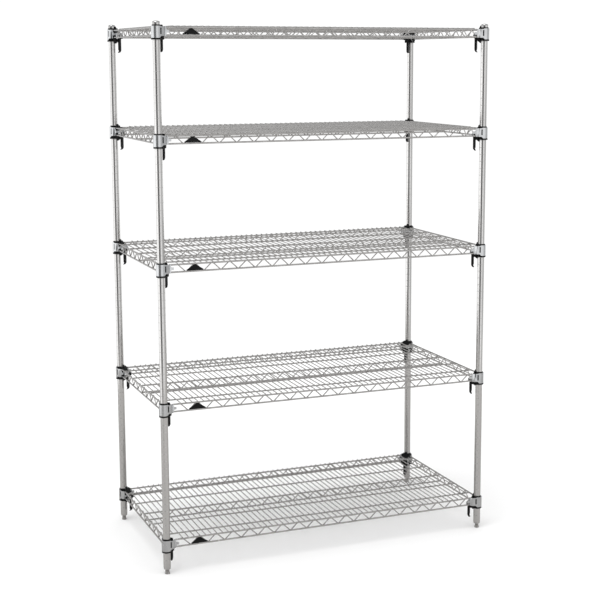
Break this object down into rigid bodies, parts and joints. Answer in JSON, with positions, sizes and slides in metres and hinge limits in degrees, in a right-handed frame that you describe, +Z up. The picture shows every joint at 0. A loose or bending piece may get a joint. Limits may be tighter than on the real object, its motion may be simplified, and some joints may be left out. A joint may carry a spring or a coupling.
{
  "type": "wire shelving rack",
  "caption": "Open wire shelving rack: flat welded-wire shelves with zigzag edge trusses, clipped at any height to grooved round corner posts, with flip-up corner release levers and screw feet.",
  "frame": {"origin": "on the floor, midway between the four posts", "axes": "+Z up; +X along the long side; the front, with the name plates, faces -Y"},
  "size_m": [1.254, 0.6444, 1.892],
  "materials": {
    "chrome_tube": "bright plated steel tube",
    "chrome_wire": "plated drawn wire",
    "chrome_bracket": "bright plated pressed sheet",
    "cap_metal": "bright plated",
    "zinc_steel": "zinc plated",
    "black_plastic": "moulded, fine grain"
  },
  "bodies": {
    "frame": {"post_fl": "chrome_tube", "post_fr": "chrome_tube", "post_br": "chrome_tube", "post_bl": "chrome_tube", "post_caps": "cap_metal", "post_inserts": "zinc_steel", "wedges_1": "black_plastic", "wedges_2": "black_plastic", "wedges_3": "black_plastic", "wedges_4": "black_plastic", "wedges_5": "black_plastic", "deck_wires_5": "chrome_wire", "trusses_5": "chrome_wire", "corner_brackets_5": "chrome_bracket", "name_plate_5": "black_plastic"},
    "shelf_1": {"deck_wires_1": "chrome_wire", "trusses_1": "chrome_wire", "corner_brackets_1": "chrome_bracket", "name_plate_1": "black_plastic"},
    "shelf_2": {"deck_wires_2": "chrome_wire", "trusses_2": "chrome_wire", "corner_brackets_2": "chrome_bracket", "name_plate_2": "black_plastic"},
    "shelf_3": {"deck_wires_3": "chrome_wire", "trusses_3": "chrome_wire", "corner_brackets_3": "chrome_bracket", "name_plate_3": "black_plastic"},
    "shelf_4": {"deck_wires_4": "chrome_wire", "trusses_4": "chrome_wire", "corner_brackets_4": "chrome_bracket", "name_plate_4": "black_plastic"},
    "lever_1_fl": {"lever_1_fl": "black_plastic"},
    "lever_1_fr": {"lever_1_fr": "black_plastic"},
    "lever_1_br": {"lever_1_br": "black_plastic"},
    "lever_1_bl": {"lever_1_bl": "black_plastic"},
    "lever_2_fl": {"lever_2_fl": "black_plastic"},
    "lever_2_fr": {"lever_2_fr": "black_plastic"},
    "lever_2_br": {"lever_2_br": "black_plastic"},
    "lever_2_bl": {"lever_2_bl": "black_plastic"},
    "lever_3_fl": {"lever_3_fl": "black_plastic"},
    "lever_3_fr": {"lever_3_fr": "black_plastic"},
    "lever_3_br": {"lever_3_br": "black_plastic"},
    "lever_3_bl": {"lever_3_bl": "black_plastic"},
    "lever_4_fl": {"lever_4_fl": "black_plastic"},
    "lever_4_fr": {"lever_4_fr": "black_plastic"},
    "lever_4_br": {"lever_4_br": "black_plastic"},
    "lever_4_bl": {"lever_4_bl": "black_plastic"},
    "lever_5_fl": {"lever_5_fl": "black_plastic"},
    "lever_5_fr": {"lever_5_fr": "black_plastic"},
    "lever_5_br": {"lever_5_br": "black_plastic"},
    "lever_5_bl": {"lever_5_bl": "black_plastic"},
    "foot_pad_fl": {"foot_pad_fl": "zinc_steel"},
    "foot_bolt_fl": {"foot_bolt_fl": "zinc_steel"},
    "foot_pad_fr": {"foot_pad_fr": "zinc_steel"},
    "foot_bolt_fr": {"foot_bolt_fr": "zinc_steel"},
    "foot_pad_br": {"foot_pad_br": "zinc_steel"},
    "foot_bolt_br": {"foot_bolt_br": "zinc_steel"},
    "foot_pad_bl": {"foot_pad_bl": "zinc_steel"},
    "foot_bolt_bl": {"foot_bolt_bl": "zinc_steel"}
  },
  "joints": [
    {"name": "shelf_1_lift", "type": "slide", "parent": "frame", "child": "shelf_1", "axis": [0, 0, 1], "range_m": [0, 0.1]},
    {"name": "shelf_2_lift", "type": "slide", "parent": "frame", "child": "shelf_2", "axis": [0, 0, 1], "range_m": [0, 0.254]},
    {"name": "shelf_3_lift", "type": "slide", "parent": "frame", "child": "shelf_3", "axis": [0, 0, 1], "range_m": [0, 0.33]},
    {"name": "shelf_4_lift", "type": "slide", "parent": "frame", "child": "shelf_4", "axis": [0, 0, 1], "range_m": [0, 0.381]},
    {"name": "lever_1_fl_release", "type": "hinge", "parent": "shelf_1", "child": "lever_1_fl", "pos_m": [-0.58662, -0.28182, 1.8469], "axis": [0.7071, -0.7071, 0], "range_deg": [0, 90]},
    {"name": "lever_1_fr_release", "type": "hinge", "parent": "shelf_1", "child": "lever_1_fr", "pos_m": [0.58662, -0.28182, 1.8469], "axis": [0.7071, 0.7071, 0], "range_deg": [0, 90]},
    {"name": "lever_1_br_release", "type": "hinge", "parent": "shelf_1", "child": "lever_1_br", "pos_m": [0.58662, 0.28182, 1.8469], "axis": [-0.7071, 0.7071, 0], "range_deg": [0, 90]},
    {"name": "lever_1_bl_release", "type": "hinge", "parent": "shelf_1", "child": "lever_1_bl", "pos_m": [-0.58662, 0.28182, 1.8469], "axis": [-0.7071, -0.7071, 0], "range_deg": [0, 90]},
    {"name": "lever_2_fl_release", "type": "hinge", "parent": "shelf_2", "child": "lever_2_fl", "pos_m": [-0.58662, -0.28182, 1.4913], "axis": [0.7071, -0.7071, 0], "range_deg": [0, 90]},
    {"name": "lever_2_fr_release", "type": "hinge", "parent": "shelf_2", "child": "lever_2_fr", "pos_m": [0.58662, -0.28182, 1.4913], "axis": [0.7071, 0.7071, 0], "range_deg": [0, 90]},
    {"name": "lever_2_br_release", "type": "hinge", "parent": "shelf_2", "child": "lever_2_br", "pos_m": [0.58662, 0.28182, 1.4913], "axis": [-0.7071, 0.7071, 0], "range_deg": [0, 90]},
    {"name": "lever_2_bl_release", "type": "hinge", "parent": "shelf_2", "child": "lever_2_bl", "pos_m": [-0.58662, 0.28182, 1.4913], "axis": [-0.7071, -0.7071, 0], "range_deg": [0, 90]},
    {"name": "lever_3_fl_release", "type": "hinge", "parent": "shelf_3", "child": "lever_3_fl", "pos_m": [-0.58662, -0.28182, 1.0595], "axis": [0.7071, -0.7071, 0], "range_deg": [0, 90]},
    {"name": "lever_3_fr_release", "type": "hinge", "parent": "shelf_3", "child": "lever_3_fr", "pos_m": [0.58662, -0.28182, 1.0595], "axis": [0.7071, 0.7071, 0], "range_deg": [0, 90]},
    {"name": "lever_3_br_release", "type": "hinge", "parent": "shelf_3", "child": "lever_3_br", "pos_m": [0.58662, 0.28182, 1.0595], "axis": [-0.7071, 0.7071, 0], "range_deg": [0, 90]},
    {"name": "lever_3_bl_release", "type": "hinge", "parent": "shelf_3", "child": "lever_3_bl", "pos_m": [-0.58662, 0.28182, 1.0595], "axis": [-0.7071, -0.7071, 0], "range_deg": [0, 90]},
    {"name": "lever_4_fl_release", "type": "hinge", "parent": "shelf_4", "child": "lever_4_fl", "pos_m": [-0.58662, -0.28182, 0.5769], "axis": [0.7071, -0.7071, 0], "range_deg": [0, 90]},
    {"name": "lever_4_fr_release", "type": "hinge", "parent": "shelf_4", "child": "lever_4_fr", "pos_m": [0.58662, -0.28182, 0.5769], "axis": [0.7071, 0.7071, 0], "range_deg": [0, 90]},
    {"name": "lever_4_br_release", "type": "hinge", "parent": "shelf_4", "child": "lever_4_br", "pos_m": [0.58662, 0.28182, 0.5769], "axis": [-0.7071, 0.7071, 0], "range_deg": [0, 90]},
    {"name": "lever_4_bl_release", "type": "hinge", "parent": "shelf_4", "child": "lever_4_bl", "pos_m": [-0.58662, 0.28182, 0.5769], "axis": [-0.7071, -0.7071, 0], "range_deg": [0, 90]},
    {"name": "lever_5_fl_release", "type": "hinge", "parent": "frame", "child": "lever_5_fl", "pos_m": [-0.58662, -0.28182, 0.0943], "axis": [0.7071, -0.7071, 0], "range_deg": [0, 90]},
    {"name": "lever_5_fr_release", "type": "hinge", "parent": "frame", "child": "lever_5_fr", "pos_m": [0.58662, -0.28182, 0.0943], "axis": [0.7071, 0.7071, 0], "range_deg": [0, 90]},
    {"name": "lever_5_br_release", "type": "hinge", "parent": "frame", "child": "lever_5_br", "pos_m": [0.58662, 0.28182, 0.0943], "axis": [-0.7071, 0.7071, 0], "range_deg": [0, 90]},
    {"name": "lever_5_bl_release", "type": "hinge", "parent": "frame", "child": "lever_5_bl", "pos_m": [-0.58662, 0.28182, 0.0943], "axis": [-0.7071, -0.7071, 0], "range_deg": [0, 90]},
    {"name": "foot_fl_travel", "type": "slide", "parent": "frame", "child": "foot_pad_fl", "axis": [0, 0, -1], "range_m": [0, 0.019]},
    {"name": "foot_fl_turn", "type": "hinge", "parent": "foot_pad_fl", "child": "foot_bolt_fl", "pos_m": [-0.6096, -0.3048, 0.01], "axis": [0, 0, -1], "range_deg": [0, 4560]},
    {"name": "foot_fr_travel", "type": "slide", "parent": "frame", "child": "foot_pad_fr", "axis": [0, 0, -1], "range_m": [0, 0.019]},
    {"name": "foot_fr_turn", "type": "hinge", "parent": "foot_pad_fr", "child": "foot_bolt_fr", "pos_m": [0.6096, -0.3048, 0.01], "axis": [0, 0, -1], "range_deg": [0, 4560]},
    {"name": "foot_br_travel", "type": "slide", "parent": "frame", "child": "foot_pad_br", "axis": [0, 0, -1], "range_m": [0, 0.019]},
    {"name": "foot_br_turn", "type": "hinge", "parent": "foot_pad_br", "child": "foot_bolt_br", "pos_m": [0.6096, 0.3048, 0.01], "axis": [0, 0, -1], "range_deg": [0, 4560]},
    {"name": "foot_bl_travel", "type": "slide", "parent": "frame", "child": "foot_pad_bl", "axis": [0, 0, -1], "range_m": [0, 0.019]},
    {"name": "foot_bl_turn", "type": "hinge", "parent": "foot_pad_bl", "child": "foot_bolt_bl", "pos_m": [-0.6096, 0.3048, 0.01], "axis": [0, 0, -1], "range_deg": [0, 4560]}
  ],
  "couplings": [
    {"joint": "foot_fl_turn", "follows": "foot_fl_travel", "rad_per_m": 4188.8},
    {"joint": "foot_fr_turn", "follows": "foot_fr_travel", "rad_per_m": 4188.8},
    {"joint": "foot_br_turn", "follows": "foot_br_travel", "rad_per_m": 4188.8},
    {"joint": "foot_bl_turn", "follows": "foot_bl_travel", "rad_per_m": 4188.8}
  ]
}
